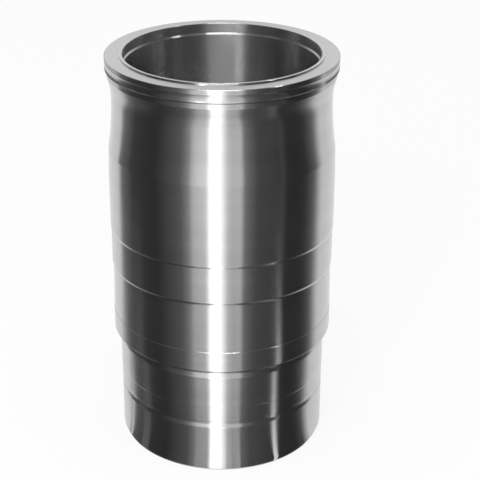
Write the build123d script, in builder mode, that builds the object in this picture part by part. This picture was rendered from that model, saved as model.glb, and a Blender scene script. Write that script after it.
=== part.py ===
from build123d import *
import os

# Wet cylinder liner for a heavy diesel engine: one ring-shaped casting, turned outside
# and honed inside. Sizes are in millimetres. The origin is at the centre of the foot,
# with the bore axis along +Z. The outside is named from the foot up and from the
# top down, and the barrel between takes up the rest of the length.

# ---- Bore ----
bore_diameter = 128.0
liner_length = 277.4         # from the foot to the top of the fire lip
recess_step = 1.0            # scraper ring seat, stepped back from the bore all round
recess_depth = 6.6           # scraper ring seat, from the fire lip's top down
mouth_chamfer = 0.3
bore_foot_chamfer = 1.2

# ---- Flange and fire lip ----
lip_width = 1.7
lip_height = 0.9
flange_diameter = 153.6
flange_edge_break = 0.3
land_height = 3.2            # plain upper land of the flange's rim
cove_height = 5.1            # hollow rim under the land, down to the seat
cove_depth = 0.45

# ---- Root band, relief and neck ----
root_diameter = 151.2        # short band that carries the flange
root_height = 4.3
neck_diameter = 146.0
relief_height = 9.7
relief_fillet = 35.0
neck_height = 7.8
swell_height = 33.0          # long curve from the neck out to the barrel's upper edge
swell_diameter = 151.5
taper_height = 18.0

# ---- Barrel ----
barrel_diameter = 152.4
lower_barrel_diameter = 151.6
barrel_chamfer_height = 1.6
lower_barrel_height = 24.6
waist_diameter = 150.0
waist_fillet_height = 2.4
waist_height = 36.8          # flares from the waist out to the belt's upper edge
belt_edge_step = 0.2
belt_diameter = 151.3
belt_height = 13.8

# ---- Lower pilot ----
pilot_diameter = 143.0
shoulder_chamfer = 3.0       # 45 degree lead-in under the belt
undercut_width = 7.8
undercut_depth = 0.9
undercut_flank = 3.2
pilot_height = 23.0
foot_pilot_diameter = 142.7
pilot_chamfer_height = 0.4
groove_land_height = 10.5
seal_groove_width = 5.2
seal_groove_depth = 0.7
seal_groove_upper_flank = 0.8
seal_groove_lower_flank = 2.4
foot_land_height = 34.7
foot_chamfer = 1.4
foot_chamfer_height = 3.4

# Radii that others are measured from
bore_r = bore_diameter / 2
recess_r = bore_r + recess_step
lip_r = recess_r + mouth_chamfer + lip_width
flange_r = flange_diameter / 2
root_r = root_diameter / 2
neck_r = neck_diameter / 2
swell_r = swell_diameter / 2
barrel_r = barrel_diameter / 2
lower_barrel_r = lower_barrel_diameter / 2
waist_r = waist_diameter / 2
belt_r = belt_diameter / 2
pilot_r = pilot_diameter / 2
foot_pilot_r = foot_pilot_diameter / 2

# Levels from the top down
lip_z = liner_length
flange_z = lip_z - lip_height
land_z = flange_z - land_height
seat_z = land_z - cove_height
root_z = seat_z - root_height
neck_top_z = root_z - relief_height
neck_z = neck_top_z - neck_height
swell_z = neck_z - swell_height
barrel_top_z = swell_z - taper_height
recess_z = lip_z - recess_depth

# Levels from the foot up
seal_groove_z = foot_land_height
groove_land_z = seal_groove_z + seal_groove_width
pilot_z = groove_land_z + groove_land_height
undercut_z = pilot_z + pilot_height
shoulder_z = undercut_z + undercut_width
belt_z = shoulder_z + belt_height
waist_z = belt_z + waist_height
lower_barrel_z = waist_z + lower_barrel_height

with BuildPart() as cylinder_liner:
    with BuildSketch(Plane.XZ) as half_section:
        with BuildLine() as outline:
            # Bore mouth, fire lip, flange rim with its hollow, root band
            rim = Polyline(
                (recess_r, lip_z - mouth_chamfer),
                (recess_r + mouth_chamfer, lip_z),
                (lip_r, lip_z),
                (lip_r, flange_z),
                (flange_r - flange_edge_break, flange_z),
                (flange_r, flange_z - flange_edge_break),
                (flange_r, land_z),
            )
            cove = SagittaArc(rim @ 1, (flange_r, seat_z), -cove_depth)
            root_band = Polyline(
                cove @ 1,
                (root_r, seat_z),
                (root_r, root_z),
            )
            # Relief cone down to the neck, and the long swell out of it
            relief = FilletPolyline(
                root_band @ 1,
                (neck_r, neck_top_z),
                (neck_r, neck_z),
                radius=relief_fillet,
            )
            swell = TangentArc(relief @ 1, (swell_r, swell_z), tangent=(0, -1))
            # Barrel, stepped once, down to the waist
            barrel = Polyline(
                swell @ 1,
                (barrel_r, barrel_top_z),
                (barrel_r, lower_barrel_z + barrel_chamfer_height),
                (lower_barrel_r, lower_barrel_z),
                (lower_barrel_r, waist_z),
            )
            waist_cove = TangentArc(
                (waist_r, waist_z - waist_fillet_height),
                barrel @ 1,
                tangent=(0, 1),
            )
            # Flared waist, belt with its shoulder, undercut and lower pilot
            belt = Polyline(
                waist_cove @ 0,
                (belt_r - belt_edge_step, belt_z + belt_edge_step),
                (belt_r, belt_z),
                (belt_r, shoulder_z),
                (belt_r - shoulder_chamfer, shoulder_z - shoulder_chamfer),
                (pilot_r - undercut_depth, shoulder_z - shoulder_chamfer),
                (pilot_r - undercut_depth, undercut_z + undercut_flank),
                (pilot_r, undercut_z),
                (pilot_r, pilot_z + pilot_chamfer_height),
                (foot_pilot_r, pilot_z),
            )
            # Seal groove, foot and lead-in, then back up the bore to the ring seat
            foot = Polyline(
                belt @ 1,
                (foot_pilot_r, groove_land_z),
                (foot_pilot_r - seal_groove_depth, groove_land_z - seal_groove_upper_flank),
                (foot_pilot_r - seal_groove_depth, seal_groove_z + seal_groove_lower_flank),
                (foot_pilot_r, seal_groove_z),
                (foot_pilot_r, foot_chamfer_height),
                (foot_pilot_r - foot_chamfer, 0),
                (bore_r + bore_foot_chamfer, 0),
                (bore_r, bore_foot_chamfer),
                (bore_r, recess_z - recess_step),
                (recess_r, recess_z),
                rim @ 0,
            )
        make_face()
    revolve(axis=Axis.Z)

cylinder_liner.part.label = "cylinder_liner"
os.makedirs("parts", exist_ok=True)
export_step(cylinder_liner.part, "parts/cylinder_liner.step")
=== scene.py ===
import math

import bpy
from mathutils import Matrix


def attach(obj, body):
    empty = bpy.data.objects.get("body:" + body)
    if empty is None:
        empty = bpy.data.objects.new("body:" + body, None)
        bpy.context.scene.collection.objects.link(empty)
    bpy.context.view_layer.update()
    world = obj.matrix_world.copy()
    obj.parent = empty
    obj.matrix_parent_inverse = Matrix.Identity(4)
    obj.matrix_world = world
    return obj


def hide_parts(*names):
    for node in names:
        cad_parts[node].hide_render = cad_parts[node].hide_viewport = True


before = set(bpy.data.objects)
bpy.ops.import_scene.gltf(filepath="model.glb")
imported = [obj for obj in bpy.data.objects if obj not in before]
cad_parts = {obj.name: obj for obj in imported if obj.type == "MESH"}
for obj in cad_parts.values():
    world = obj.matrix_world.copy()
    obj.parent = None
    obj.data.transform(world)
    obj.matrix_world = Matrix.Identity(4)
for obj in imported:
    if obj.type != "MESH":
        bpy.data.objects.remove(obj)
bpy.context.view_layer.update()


# ---- Cylinder liner ----
# The liner is one ring-shaped iron casting that stands between the piston and the coolant.
# It is turned outside from its flange to its foot, with every corner broken by a fine chamfer,
# and its bore is honed. The half section below is turned about the bore axis.

# Radii in millimetres
bore_r = 64.0
ring_seat_r = 65.0
lip_r = 67.0
flange_r = 76.8
root_r = 75.6
neck_r = 73.0
swell_r = 75.75
barrel_r = 76.2
lower_barrel_r = 75.8
waist_r = 75.0
belt_r = 75.65
pilot_r = 71.5
undercut_r = 70.6
foot_pilot_r = 71.35
seal_groove_r = 70.65

# Heights over the foot
lip_z = 277.4
flange_z = 276.5
land_z = 273.3
hollow_z = 270.75
ring_seat_z = 270.8
seat_z = 268.2
root_z = 263.9
neck_top_z = 254.2
neck_z = 246.4
swell_z = 213.4
barrel_top_z = 195.4
lower_barrel_z = 156.4
waist_top_z = 131.8
waist_z = 129.4
belt_z = 95.0
shoulder_z = 81.2
undercut_z = 73.4
pilot_z = 50.4
groove_top_z = 39.9
groove_foot_z = 34.7
foot_chamfer_z = 3.4

# Chamfers, flanks, reliefs and broken edges
mouth_chamfer = 0.3
flange_chamfer = 0.3
hollow_depth = 0.45
seat_relief = 0.5
seat_relief_flat = 0.8
seat_relief_height = 1.0
relief_fillet = 35.0
barrel_step_height = 1.6
belt_edge_step = 0.2
shoulder_chamfer = 3.0
undercut_flank = 3.2
pilot_step_height = 0.4
groove_upper_flank = 0.8
groove_lower_flank = 2.4
foot_chamfer = 1.4
bore_foot_chamfer = 1.2
ring_seat_chamfer = 1.0
fine_break = 0.15
groove_break = 0.12

section = []


def corner(radius, height, edge_break=0.0, steps=1):
    """One corner of the half section in millimetres, with the size of its broken edge."""
    section.append((radius, height, edge_break, steps))


def leave_straight(start, end, steps):
    """The points of an arc that leaves start along the bore axis and reaches end."""
    (r0, z0), (r1, z1) = start, end
    radius = ((r1 - r0) ** 2 + (z1 - z0) ** 2) / (2 * (r1 - r0))
    turn = math.asin(abs(z1 - z0) / abs(radius))
    way = math.copysign(abs(radius), z1 - z0)
    arc = [turn * step / steps for step in range(steps + 1)]
    return [(r0 + radius * (1 - math.cos(t)), z0 + way * math.sin(t)) for t in arc]


# Bore mouth, fire lip and the flange's rim with its hollow over the seat
corner(ring_seat_r, lip_z - mouth_chamfer)
corner(ring_seat_r + mouth_chamfer, lip_z)
corner(lip_r, lip_z, fine_break)
corner(lip_r, flange_z)
corner(flange_r - flange_chamfer, flange_z)
corner(flange_r, flange_z - flange_chamfer)
hollow = (flange_r - hollow_depth, hollow_z)
for radius, height in reversed(leave_straight(hollow, (flange_r, land_z), 12)):
    corner(radius, height)
for radius, height in leave_straight(hollow, (flange_r, seat_z), 12)[1:-1]:
    corner(radius, height)
corner(flange_r, seat_z, groove_break)
corner(flange_r - flange_chamfer, seat_z)
corner(root_r - seat_relief, seat_z)
corner(root_r - seat_relief, seat_z - seat_relief_flat)
corner(root_r, seat_z - seat_relief_height)
# Root band, relief cone, neck and the long swell out to the barrel
corner(root_r, root_z, fine_break)
corner(neck_r, neck_top_z, relief_fillet, 12)
for radius, height in leave_straight((neck_r, neck_z), (swell_r, swell_z), 16):
    corner(radius, height)
corner(barrel_r, barrel_top_z)
corner(barrel_r, lower_barrel_z + barrel_step_height, fine_break)
corner(lower_barrel_r, lower_barrel_z)
corner(lower_barrel_r, waist_top_z, fine_break)
for radius, height in reversed(leave_straight((waist_r, waist_z), (lower_barrel_r, waist_top_z), 24)[:-1]):
    corner(radius, height)
# Belt, shoulder, undercut and lower pilot with its seal groove
corner(belt_r - belt_edge_step, belt_z + belt_edge_step)
corner(belt_r, belt_z)
corner(belt_r, shoulder_z, fine_break)
corner(belt_r - shoulder_chamfer, shoulder_z - shoulder_chamfer)
corner(undercut_r, shoulder_z - shoulder_chamfer, 0.2)
corner(undercut_r, undercut_z + undercut_flank)
corner(pilot_r, undercut_z, 0.1)
corner(pilot_r, pilot_z + pilot_step_height)
corner(foot_pilot_r, pilot_z)
corner(foot_pilot_r, groove_top_z, groove_break)
corner(seal_groove_r, groove_top_z - groove_upper_flank)
corner(seal_groove_r, groove_foot_z + groove_lower_flank)
corner(foot_pilot_r, groove_foot_z, groove_break)
corner(foot_pilot_r, foot_chamfer_z)
corner(foot_pilot_r - foot_chamfer, 0.0, fine_break)
# Foot, bore and the scraper ring's seat
corner(bore_r + bore_foot_chamfer, 0.0)
corner(bore_r, bore_foot_chamfer)
corner(bore_r, ring_seat_z - ring_seat_chamfer)
corner(ring_seat_r, ring_seat_z)

# Beside each broken edge two more points keep the worn metal, with its painted highlight, within a narrow band
wear_and_sheen_band = 0.9
outline_points = []
for i, (radius, height, edge_break, steps) in enumerate(section):
    wear_and_sheen = float(0 < edge_break < 1)
    before, after = section[i - 1], section[(i + 1) % len(section)]
    for other in (before, None, after):
        if other is None:
            outline_points.append((radius, height, edge_break, steps, wear_and_sheen))
            continue
        gap = math.hypot(other[0] - radius, other[1] - height)
        if wear_and_sheen and gap > 2.5 * wear_and_sheen_band:
            share = wear_and_sheen_band / gap
            outline_points.append(
                (radius + (other[0] - radius) * share, height + (other[1] - height) * share, 0.0, 1, 0.0)
            )

wire = bpy.data.meshes.new("half_section")
wire.from_pydata(
    [(radius / 1000, 0.0, height / 1000) for radius, height, *_ in outline_points],
    [(i, (i + 1) % len(outline_points)) for i in range(len(outline_points))],
    [],
)
wire.attributes.new("edge_break", "FLOAT", "POINT").data.foreach_set(
    "value", [point[2] / 1000 for point in outline_points]
)
wire.attributes.new("break_steps", "INT", "POINT").data.foreach_set("value", [point[3] for point in outline_points])
wire.attributes.new("wear_and_sheen", "FLOAT", "POINT").data.foreach_set("value", [point[4] for point in outline_points])

turning = bpy.data.node_groups.new("Turned about the bore axis", "GeometryNodeTree")
turning.interface.new_socket("Half Section", in_out="INPUT", socket_type="NodeSocketGeometry")
turning.interface.new_socket("Sides", in_out="INPUT", socket_type="NodeSocketInt")
turning.interface.new_socket("Crisp Angle", in_out="INPUT", socket_type="NodeSocketFloat")
turning.interface.new_socket("Bore Limit", in_out="INPUT", socket_type="NodeSocketFloat")
turning.interface.new_socket("Outside", in_out="INPUT", socket_type="NodeSocketMaterial")
turning.interface.new_socket("Bore", in_out="INPUT", socket_type="NodeSocketMaterial")
turning.interface.new_socket("Turned Piece", in_out="OUTPUT", socket_type="NodeSocketGeometry")


def place(tree, kind, inputs=(), **settings):
    """Adds one node, gives it its settings and joins or sets its inputs."""
    node = tree.nodes.new(kind)
    for name, value in settings.items():
        setattr(node, name, value)
    for socket, value in dict(inputs).items():
        if isinstance(value, bpy.types.NodeSocket):
            tree.links.new(value, node.inputs[socket])
        else:
            node.inputs[socket].default_value = value
    return node


given = place(turning, "NodeGroupInput").outputs
breaks = place(turning, "GeometryNodeInputNamedAttribute", {"Name": "edge_break"}, data_type="FLOAT")
steps = place(turning, "GeometryNodeInputNamedAttribute", {"Name": "break_steps"}, data_type="INT")
outline = place(turning, "GeometryNodeMeshToCurve", {"Mesh": given["Half Section"]})
broken = place(
    turning,
    "GeometryNodeFilletCurve",
    {
        "Curve": outline.outputs["Curve"],
        "Radius": breaks.outputs["Attribute"],
        "Count": steps.outputs["Attribute"],
        "Limit Radius": True,
    },
    mode="POLY",
)
here = place(turning, "GeometryNodeInputPosition").outputs["Position"]
kept_point = place(turning, "GeometryNodeCaptureAttribute", {"Geometry": broken.outputs["Curve"]}, domain="POINT")
kept_point.capture_items.new("VECTOR", "Section Point")
turning.links.new(here, kept_point.inputs["Section Point"])
wear_and_sheen_flag = place(turning, "GeometryNodeInputNamedAttribute", {"Name": "wear_and_sheen"}, data_type="FLOAT")
kept_point.capture_items.new("FLOAT", "Worn")
turning.links.new(wear_and_sheen_flag.outputs["Attribute"], kept_point.inputs["Worn"])
ring = place(turning, "GeometryNodeCurvePrimitiveCircle", {"Resolution": given["Sides"], "Radius": 0.07})
number = place(turning, "GeometryNodeInputIndex").outputs["Index"]
share = place(turning, "ShaderNodeMath", {0: number, 1: given["Sides"]}, operation="DIVIDE").outputs[0]
angle = place(turning, "ShaderNodeMath", {0: share, 1: math.tau}, operation="MULTIPLY").outputs[0]
kept_angle = place(turning, "GeometryNodeCaptureAttribute", {"Geometry": ring.outputs["Curve"]}, domain="POINT")
kept_angle.capture_items.new("FLOAT", "Turn")
turning.links.new(angle, kept_angle.inputs["Turn"])
swept = place(
    turning,
    "GeometryNodeCurveToMesh",
    {"Curve": kept_angle.outputs["Geometry"], "Profile Curve": kept_point.outputs["Geometry"]},
)
turned = place(
    turning,
    "ShaderNodeVectorRotate",
    {"Vector": kept_point.outputs["Section Point"], "Angle": kept_angle.outputs["Turn"]},
    rotation_type="Z_AXIS",
)
shaped = place(
    turning,
    "GeometryNodeSetPosition",
    {"Geometry": swept.outputs["Mesh"], "Position": turned.outputs["Vector"]},
)
marked = place(
    turning,
    "GeometryNodeStoreNamedAttribute",
    {"Geometry": shaped.outputs["Geometry"], "Name": "edge_wear_and_sheen", "Value": kept_point.outputs["Worn"]},
    data_type="FLOAT",
    domain="POINT",
)
fold = place(turning, "GeometryNodeInputMeshEdgeAngle").outputs["Unsigned Angle"]
gentle = place(
    turning, "FunctionNodeCompare", {0: fold, 1: given["Crisp Angle"]}, data_type="FLOAT", operation="LESS_THAN"
)
smooth_faces = place(
    turning, "GeometryNodeSetShadeSmooth", {"Geometry": marked.outputs["Geometry"], "Shade Smooth": True}, domain="FACE"
)
smooth = place(
    turning,
    "GeometryNodeSetShadeSmooth",
    {"Geometry": smooth_faces.outputs["Geometry"], "Shade Smooth": gentle.outputs["Result"]},
    domain="EDGE",
)
solid = place(turning, "GeometryNodeRealizeInstances", {"Geometry": smooth.outputs["Geometry"]})
outside = place(
    turning, "GeometryNodeSetMaterial", {"Geometry": solid.outputs["Geometry"], "Material": given["Outside"]}
)
reach = place(turning, "ShaderNodeSeparateXYZ", {"Vector": kept_point.outputs["Section Point"]}).outputs["X"]
in_bore = place(
    turning, "FunctionNodeCompare", {0: reach, 1: given["Bore Limit"]}, data_type="FLOAT", operation="LESS_THAN"
)
finished = place(
    turning,
    "GeometryNodeSetMaterial",
    {
        "Geometry": outside.outputs["Geometry"],
        "Selection": in_bore.outputs["Result"],
        "Material": given["Bore"],
    },
)
place(turning, "NodeGroupOutput", {"Turned Piece": finished.outputs["Geometry"]})

# Effects that the turned and the honed metal share
haze = bpy.data.node_groups.new("Handling Haze", "ShaderNodeTree")
haze.interface.new_socket("Patch Size", in_out="INPUT", socket_type="NodeSocketFloat")
haze.interface.new_socket("Haze", in_out="OUTPUT", socket_type="NodeSocketFloat")
haze.interface.new_socket("Specks", in_out="OUTPUT", socket_type="NodeSocketFloat")
given = place(haze, "NodeGroupInput").outputs
spot = place(haze, "ShaderNodeTexCoord").outputs["Object"]
fineness = place(haze, "ShaderNodeMath", {0: 1.0, 1: given["Patch Size"]}, operation="DIVIDE").outputs[0]
clouds = place(haze, "ShaderNodeTexNoise", {"Vector": spot, "Scale": fineness, "Detail": 5.0, "Roughness": 0.62})
hazy = place(haze, "ShaderNodeMapRange", {"Value": clouds.outputs["Fac"], "From Min": 0.3, "From Max": 0.7})
grit = place(haze, "ShaderNodeTexNoise", {"Vector": spot, "Scale": 900.0, "Detail": 2.0, "Roughness": 0.5})
specks = place(haze, "ShaderNodeMapRange", {"Value": grit.outputs["Fac"], "From Min": 0.66, "From Max": 0.74})
place(haze, "NodeGroupOutput", {"Haze": hazy.outputs["Result"], "Specks": specks.outputs["Result"]})

# Broken edges are rubbed bright, and this brightening is also a painted highlight that stands in for glints on the
# edges
edge_wear_with_highlight = bpy.data.node_groups.new("Edge Wear With Painted Highlight", "ShaderNodeTree")
edge_wear_with_highlight.interface.new_socket("Amount", in_out="INPUT", socket_type="NodeSocketFloat")
edge_wear_with_highlight.interface.new_socket("Bright", in_out="OUTPUT", socket_type="NodeSocketFloat")
given = place(edge_wear_with_highlight, "NodeGroupInput").outputs
spot = place(edge_wear_with_highlight, "ShaderNodeTexCoord").outputs["Object"]
ragged = place(edge_wear_with_highlight, "ShaderNodeTexNoise", {"Vector": spot, "Scale": 260.0, "Detail": 4.0, "Roughness": 0.6})
uneven = place(edge_wear_with_highlight, "ShaderNodeMapRange", {"Value": ragged.outputs["Fac"], "From Min": 0.35, "From Max": 0.65})
near_edge = place(edge_wear_with_highlight, "ShaderNodeAttribute", attribute_name="edge_wear_and_sheen").outputs["Fac"]
narrow = place(edge_wear_with_highlight, "ShaderNodeMath", {0: near_edge, 1: 3.0}, operation="POWER").outputs[0]
rubbed_with_sheen = place(edge_wear_with_highlight, "ShaderNodeMath", {0: narrow, 1: uneven.outputs["Result"]}, operation="MULTIPLY").outputs[0]
bright = place(edge_wear_with_highlight, "ShaderNodeMath", {0: rubbed_with_sheen, 1: given["Amount"]}, operation="MULTIPLY").outputs[0]
place(edge_wear_with_highlight, "NodeGroupOutput", {"Bright": bright})

# The fine rings and the broad passes that the turning tool leaves outside
rings = bpy.data.node_groups.new("Turning Marks", "ShaderNodeTree")
rings.interface.new_socket("Feed", in_out="INPUT", socket_type="NodeSocketFloat")
rings.interface.new_socket("Rings", in_out="OUTPUT", socket_type="NodeSocketFloat")
rings.interface.new_socket("Passes", in_out="OUTPUT", socket_type="NodeSocketFloat")
given = place(rings, "NodeGroupInput").outputs
spot = place(rings, "ShaderNodeTexCoord").outputs["Object"]
axes = place(rings, "ShaderNodeSeparateXYZ", {"Vector": spot}).outputs
from_axis = place(rings, "ShaderNodeCombineXYZ", {"X": axes["X"], "Y": axes["Y"]}).outputs["Vector"]
reach = place(rings, "ShaderNodeVectorMath", {0: from_axis}, operation="LENGTH").outputs["Value"]
travel = place(rings, "ShaderNodeMath", {0: reach, 1: axes["Z"]}, operation="ADD").outputs[0]
turns = place(rings, "ShaderNodeMath", {0: travel, 1: given["Feed"]}, operation="DIVIDE").outputs[0]
fine = place(
    rings, "ShaderNodeTexNoise", {"W": turns, "Scale": 1.0, "Detail": 3.0, "Roughness": 0.7}, noise_dimensions="1D"
)
broad = place(rings, "ShaderNodeTexNoise", {"W": travel, "Scale": 110.0, "Detail": 3.0}, noise_dimensions="1D")
passes = place(rings, "ShaderNodeMapRange", {"Value": broad.outputs["Fac"], "From Min": 0.3, "From Max": 0.7})
place(rings, "NodeGroupOutput", {"Rings": fine.outputs["Fac"], "Passes": passes.outputs["Result"]})


def iron(name, roughness, anisotropic):
    """Bare metal whose lay runs round the bore axis, with its node tree and its shader."""
    made = bpy.data.materials.new(name)
    made.use_nodes = True
    shader = made.node_tree.nodes["Principled BSDF"]
    shader.inputs["Metallic"].default_value = 1.0
    shader.inputs["Roughness"].default_value = roughness
    shader.inputs["Anisotropic"].default_value = anisotropic
    shader.inputs["Anisotropic Rotation"].default_value = 0.25
    lay = place(made.node_tree, "ShaderNodeTangent", direction_type="RADIAL", axis="Z")
    made.node_tree.links.new(lay.outputs["Tangent"], shader.inputs["Tangent"])
    return made, made.node_tree, shader


def finish_iron(tree, shader, tone, marks, depth, dull, bright, smooth, rough):
    """Colour, roughness and relief of bare metal, from its tone and from the height of its marks."""
    cloud = place(tree, "ShaderNodeGroup", {}, node_tree=haze)
    cloud.inputs["Patch Size"].default_value = 0.045
    edge = place(tree, "ShaderNodeGroup", {}, node_tree=edge_wear_with_highlight)
    edge.inputs["Amount"].default_value = 0.8
    mixed = place(tree, "ShaderNodeMix", {0: 0.5, 2: cloud.outputs["Haze"], 3: tone}, data_type="FLOAT").outputs[0]
    metal = place(tree, "ShaderNodeMix", {0: mixed, 6: dull, 7: bright}, data_type="RGBA").outputs[2]
    spots = place(tree, "ShaderNodeMath", {0: cloud.outputs["Specks"], 1: 0.35}, operation="MULTIPLY").outputs[0]
    specked = place(tree, "ShaderNodeMix", {0: spots, 6: metal, 7: (0.2, 0.19, 0.18, 1)}, data_type="RGBA").outputs[2]
    # A lighter, smoother colour on broken edges: wear, and also a painted highlight
    wear_and_sheen = place(
        tree, "ShaderNodeMix", {0: edge.outputs["Bright"], 6: specked, 7: (0.66, 0.66, 0.655, 1)}, data_type="RGBA"
    ).outputs[2]
    tree.links.new(wear_and_sheen, shader.inputs["Base Color"])
    dulled = place(
        tree, "ShaderNodeMapRange", {"Value": cloud.outputs["Haze"], "To Min": smooth, "To Max": rough}
    ).outputs["Result"]
    rubbed_with_sheen = place(tree, "ShaderNodeMix", {0: edge.outputs["Bright"], 2: dulled, 3: 0.14}, data_type="FLOAT").outputs[0]
    tree.links.new(rubbed_with_sheen, shader.inputs["Roughness"])
    relief = place(tree, "ShaderNodeBump", {"Strength": 1.0, "Distance": depth, "Height": marks})
    tree.links.new(relief.outputs["Normal"], shader.inputs["Normal"])


turned_iron, tree, shader = iron("turned_iron", 0.21, 0.92)
cut = place(tree, "ShaderNodeGroup", {}, node_tree=rings)
cut.inputs["Feed"].default_value = 0.0003
finish_iron(
    tree,
    shader,
    tone=cut.outputs["Passes"],
    marks=cut.outputs["Rings"],
    depth=0.000004,
    dull=(0.455, 0.455, 0.455, 1),
    bright=(0.505, 0.505, 0.505, 1),
    smooth=0.19,
    rough=0.23,
)

honed_iron, tree, shader = iron("honed_iron", 0.26, 1.0)
spot = place(tree, "ShaderNodeTexCoord").outputs["Object"]
height = place(tree, "ShaderNodeSeparateXYZ", {"Vector": spot}).outputs["Z"]
strokes = []
honing_angle = math.radians(25)
for way in (-1, 1):
    # One set of honing scratches climbs the bore at this angle, and the other falls
    twist = way / (bore_r / 1000 * math.tan(honing_angle))
    angle = place(tree, "ShaderNodeMath", {0: height, 1: twist}, operation="MULTIPLY").outputs[0]
    swung = place(tree, "ShaderNodeVectorRotate", {"Vector": spot, "Angle": angle}, rotation_type="Z_AXIS")
    across = place(
        tree, "ShaderNodeVectorMath", {0: swung.outputs["Vector"], 1: (1400, 1400, 25)}, operation="MULTIPLY"
    ).outputs["Vector"]
    scratches = place(tree, "ShaderNodeTexNoise", {"Vector": across, "Scale": 1.0, "Detail": 2.0, "Roughness": 0.5})
    strokes.append(scratches.outputs["Fac"])
hatch = place(tree, "ShaderNodeMath", {0: strokes[0], 1: strokes[1]}, operation="MINIMUM").outputs[0]
hatch_tone = place(tree, "ShaderNodeMapRange", {"Value": hatch, "From Min": 0.3, "From Max": 0.6}).outputs["Result"]
finish_iron(
    tree,
    shader,
    tone=hatch_tone,
    marks=hatch,
    depth=0.0000004,
    dull=(0.455, 0.455, 0.455, 1),
    bright=(0.495, 0.495, 0.495, 1),
    smooth=0.24,
    rough=0.28,
)

blank = bpy.data.objects.new("half_section", wire)
bpy.context.scene.collection.objects.link(blank)
lathe = blank.modifiers.new("Turning", "NODES")
lathe.node_group = turning
setting = {item.name: item.identifier for item in turning.interface.items_tree if item.in_out == "INPUT"}
lathe[setting["Sides"]] = 480
lathe[setting["Crisp Angle"]] = math.radians(2.5)
lathe[setting["Bore Limit"]] = 0.0652
lathe[setting["Outside"]] = turned_iron
lathe[setting["Bore"]] = honed_iron
seen = blank.evaluated_get(bpy.context.evaluated_depsgraph_get())
liner_mesh = bpy.data.meshes.new_from_object(seen)
liner_mesh.name = "liner"
blank.modifiers.remove(lathe)
bpy.data.objects.remove(blank)
liner = bpy.data.objects.new("liner", liner_mesh)
bpy.context.scene.collection.objects.link(liner)
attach(liner, "root")
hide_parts("cylinder_liner")


# ---- Camera ----
# A long lens looks down at the liner from in front, a little to its left in the frame.
camera_data = bpy.data.cameras.new("camera")
camera_data.sensor_width = 36.0
camera_data.lens = 102.26
camera_data.shift_x = 0.0375
camera = bpy.data.objects.new("camera", camera_data)
camera.location = (0.0, -0.8548, 0.5405)
camera.rotation_euler = (math.radians(65.003), 0.0, 0.0)
bpy.context.scene.collection.objects.link(camera)
bpy.context.scene.camera = camera


# ---- Floor ----
# A wide pale floor. Seen straight, in metal or through glass it is nearly white, and it keeps
# a share of its own shaded colour, so the liner's shadow stays on it.
floor_size = 12.0
floor_mesh = bpy.data.meshes.new("floor")
floor_mesh.from_pydata(
    [
        (-floor_size, -floor_size, 0),
        (floor_size, -floor_size, 0),
        (floor_size, floor_size, 0),
        (-floor_size, floor_size, 0),
    ],
    [],
    [(0, 1, 2, 3)],
)
floor = bpy.data.objects.new("floor", floor_mesh)
bpy.context.scene.collection.objects.link(floor)
pale = bpy.data.materials.new("pale_floor")
pale.use_nodes = True
pale.node_tree.nodes.clear()
path = place(pale.node_tree, "ShaderNodeLightPath").outputs
camera_or_glossy = place(
    pale.node_tree, "ShaderNodeMath", {0: path["Is Camera Ray"], 1: path["Is Glossy Ray"]}, operation="MAXIMUM"
).outputs[0]
shown = place(
    pale.node_tree, "ShaderNodeMath", {0: camera_or_glossy, 1: path["Is Transmission Ray"]}, operation="MAXIMUM"
).outputs[0]
lift = place(pale.node_tree, "ShaderNodeMath", {0: shown, 1: 0.85}, operation="MULTIPLY").outputs[0]
plain = place(pale.node_tree, "ShaderNodeBsdfDiffuse", {"Color": (0.9, 0.9, 0.9, 1)})
white = place(pale.node_tree, "ShaderNodeEmission", {"Color": (1, 1, 1, 1), "Strength": 1.0})
both = place(pale.node_tree, "ShaderNodeMixShader", {0: lift, 1: plain.outputs[0], 2: white.outputs[0]})
place(pale.node_tree, "ShaderNodeOutputMaterial", {"Surface": both.outputs[0]})
floor_mesh.materials.append(pale)


# ---- Light ----
# Three soft lamps stand in front. The world is pale near the floor, dimmer above and paler again
# overhead. Cards that only the metal sees give turned iron the bands of light and dark that the
# panels and black flags of a studio give it.
world = bpy.data.worlds.new("studio")
bpy.context.scene.world = world
world.use_nodes = True
world.node_tree.nodes.clear()
path = place(world.node_tree, "ShaderNodeLightPath").outputs
camera_or_glossy = place(
    world.node_tree, "ShaderNodeMath", {0: path["Is Camera Ray"], 1: path["Is Glossy Ray"]}, operation="MAXIMUM"
).outputs[0]
shown = place(
    world.node_tree, "ShaderNodeMath", {0: camera_or_glossy, 1: path["Is Transmission Ray"]}, operation="MAXIMUM"
).outputs[0]
toward = place(world.node_tree, "ShaderNodeTexCoord").outputs["Generated"]
upward = place(world.node_tree, "ShaderNodeSeparateXYZ", {"Vector": toward}).outputs["Z"]
backdrop = place(
    world.node_tree,
    "ShaderNodeMapRange",
    {"Value": upward, "From Min": 0.64, "From Max": 0.80, "To Min": 1.0, "To Max": 0.12},
).outputs["Result"]
zenith = place(
    world.node_tree,
    "ShaderNodeMapRange",
    {"Value": upward, "From Min": 0.92, "From Max": 0.98, "To Min": 0.0, "To Max": 0.7},
).outputs["Result"]
around = place(world.node_tree, "ShaderNodeMath", {0: backdrop, 1: zenith}, operation="MAXIMUM").outputs[0]
strength = place(
    world.node_tree, "ShaderNodeMix", {"Factor": shown, "A": 0.8, "B": around}, data_type="FLOAT"
).outputs["Result"]
sky = place(world.node_tree, "ShaderNodeBackground", {"Color": (1, 1, 1, 1), "Strength": strength})
place(world.node_tree, "ShaderNodeOutputWorld", {"Surface": sky.outputs[0]})

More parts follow.
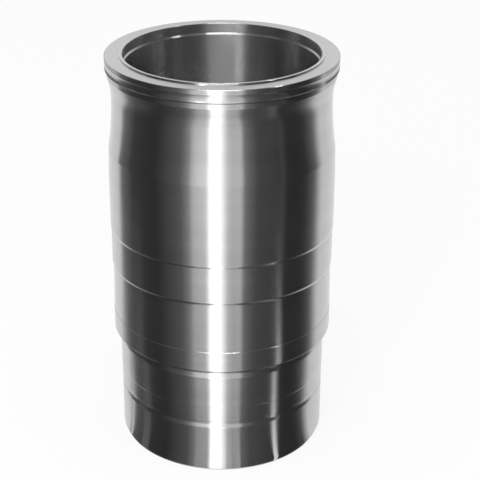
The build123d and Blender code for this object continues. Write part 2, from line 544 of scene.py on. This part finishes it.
card_face = bpy.data.materials.new("card_face")
card_face.use_nodes = True
card_face.node_tree.nodes.clear()
glow = place(card_face.node_tree, "ShaderNodeAttribute", attribute_name="glow").outputs["Fac"]
shine = place(card_face.node_tree, "ShaderNodeEmission", {"Color": (1, 1, 1, 1), "Strength": glow})
place(card_face.node_tree, "ShaderNodeOutputMaterial", {"Surface": shine.outputs[0]})


# A wall point at about half of a card's azimuth shows that card, so a card starts from there:
# a row at no distance starts inside the wall, and the others start from its face
wall_face = 0.0765
wall_inside = 0.066
mirror_ratio = 2.09


def card(name, start, end, rows):
    """A curved card seen only in the metal. Each row gives its distance from the liner, its height
    and its glow at the start and at the end azimuth."""
    across = max(2, round(abs(end - start) / 3)) + 1
    points, glows = [], []
    for out, up, first, last in rows:
        for i in range(across):
            share = i / (across - 1)
            turn = math.radians(start + (end - start) * share)
            foot = wall_face if out else wall_inside
            points.append(
                (
                    foot * math.sin(turn / mirror_ratio) + out * math.sin(turn),
                    -foot * math.cos(turn / mirror_ratio) - out * math.cos(turn),
                    up,
                )
            )
            glows.append(first + (last - first) * share)
    faces = [
        (k * across + i, k * across + i + 1, (k + 1) * across + i + 1, (k + 1) * across + i)
        for k in range(len(rows) - 1)
        for i in range(across - 1)
    ]
    mesh = bpy.data.meshes.new(name)
    mesh.from_pydata(points, [], faces)
    mesh.attributes.new("glow", "FLOAT", "POINT").data.foreach_set("value", glows)
    mesh.materials.append(card_face)
    made = bpy.data.objects.new(name, mesh)
    bpy.context.scene.collection.objects.link(made)
    made.visible_camera = False
    made.visible_diffuse = False
    made.visible_shadow = False
    made.visible_transmission = False


on_floor = 0.001
card_reach = 1.2


def low_card(name, start, end, first, last, near, top):
    """A card that lies on the floor from the liner's foot out to its reach and then stands up."""
    rows = [
        (out, on_floor, first * share, last * share)
        for out, share in (
            (0.0, near),
            (0.06, near),
            (0.2, near + (1 - near) * 0.35),
            (0.45, 1.0),
            (card_reach, 1.0),
        )
    ]
    card(name, start, end, rows + [(card_reach, top, first, last)])


# Azimuths in degrees from the front, the glow at each, the share of it that is left at the
# liner's foot, and the height of the card's top in metres
for name, start, end, first, last, near, top in (
    ("left_flag", -124, -104, 0.22, 0.10, 0.8, 1.3),
    ("left_flag_foot", -104, -92, 0.06, 0.05, 3.2, 1.3),
    ("left_flag_front", -92, -69, 0.05, 0.04, 1.0, 1.3),
    ("left_fade", -69, -42, 0.045, 0.15, 0.75, 1.3),
    ("left_fade_end", -42, -31, 0.14, 0.46, 0.65, 1.3),
    ("left_panel", -31, -16, 0.80, 1.0, 0.55, 0.8),
    ("front_strip", -13.5, -1.5, 2.5, 2.5, 1.0, 0.55),
    ("front_strip_left", -16, -13.5, 1.05, 1.4, 1.0, 0.55),
    ("front_strip_right", -1.5, 5, 2.1, 0.95, 1.0, 0.55),
    ("right_panel", 5, 11, 0.95, 0.80, 0.75, 0.8),
    ("right_panel_end", 11, 20.5, 0.80, 1.0, 0.6, 0.8),
    ("right_fade", 20.5, 34, 0.30, 0.12, 0.65, 1.3),
    ("right_fade_end", 34, 60.5, 0.10, 0.055, 1.0, 1.3),
    ("right_flag", 65.5, 92, 0.035, 0.035, 1.0, 1.3),
    ("right_flag_end", 92, 107, 0.04, 0.16, 0.7, 1.3),
    ("right_edge", 107, 118.5, 0.2, 1.0, 0.9, 0.3),
):
    low_card(name, start, end, first, last, near, top)

# A narrow strip that is bright by the foot: distance, then glow at each azimuth
strip_rows = [(0.0, 1.4, 0.9), (0.12, 1.3, 0.8), (0.2, 0.7, 0.5), (0.3, 0.12, 0.09), (card_reach, 0.10, 0.07)]
strip = [(out, on_floor, first, last) for out, first, last in strip_rows]
card("right_strip", 60.5, 65.5, strip + [(card_reach, 1.3, 0.08, 0.05)])
# The light edge on the left: distance, height, then glow where the flag begins
edge_rows = [
    (0.0, on_floor, 0.25),
    (0.28, on_floor, 0.25),
    (0.42, on_floor, 0.85),
    (card_reach, on_floor, 0.95),
    (card_reach, 0.3, 0.95),
]
card("left_edge", -132, -124, [(out, up, 1.0, last) for out, up, last in edge_rows])
# On both sides a dark wing level with the flange, and a dark flag that stands above the light
# edge: height, then glow. Both fade out towards the back.
wing_rows = [(0.232, 1.0), (0.243, 0.3), (0.248, 0.04), (0.27, 0.04), (0.276, 0.5), (0.282, 1.0)]
high_rows = [(0.45, 1.0), (0.75, 0.6), (1.0, 0.2), (1.2, 0.12), (2.9, 0.12)]
for side, sign in (("left", -1), ("right", 1)):
    for part, rows, out, start, end, first, last in (
        ("_wing", wing_rows, 0.12, 116, 156, 0.0, 0.0),
        ("_wing_back", wing_rows, 0.12, 156, 176, 0.0, 0.8),
        ("_high_flag", high_rows, card_reach, 92, 132, 0.0, 0.0),
        ("_high_flag_back", high_rows, card_reach, 132, 165, 0.0, 1.0),
    ):
        card(
            side + part,
            start * sign,
            end * sign,
            [(out, up, glow + (1 - glow) * first, glow + (1 - glow) * last) for up, glow in rows],
        )
# Small bright panels high up, which the ledge of the ring seat shows
panel_reach = 1.4
card("side_spot", 70, 80, [(panel_reach, 1.85, 14.0, 14.0), (panel_reach, 2.3, 14.0, 14.0)])
card("overhead_fade", -36, -15, [(panel_reach, 2.6, 1.0, 20.0), (panel_reach, 3.2, 1.0, 20.0)])
card("overhead", -15, 27, [(panel_reach, 2.6, 20.0, 20.0), (panel_reach, 3.2, 20.0, 20.0)])

# Azimuth, width and elevation in degrees as seen from the bore axis level with the flange, then
# power in watts
lamp_reach = 1.4
aim_height = 0.25
for name, side, across, tilt, power in (
    ("front_softbox", 0.0, 34.0, 38.0, 6.5),
    ("strip_softbox", -21.5, 9.0, 27.0, 5.5),
    ("left_softbox", -40.0, 28.0, 30.0, 2.6),
):
    lamp = bpy.data.lights.new(name, "AREA")
    lamp.shape = "RECTANGLE"
    lamp.size = 2 * lamp_reach * math.tan(math.radians(across) / 2)
    lamp.size_y = 0.6
    lamp.energy = power
    softbox = bpy.data.objects.new(name, lamp)
    turn = math.radians(side)
    softbox.location = (
        lamp_reach * math.sin(turn),
        -lamp_reach * math.cos(turn),
        aim_height + lamp_reach * math.tan(math.radians(tilt)),
    )
    softbox.rotation_euler = (math.radians(90 - tilt), 0.0, turn)
    bpy.context.scene.collection.objects.link(softbox)

bpy.context.scene.view_settings.view_transform = "Standard"
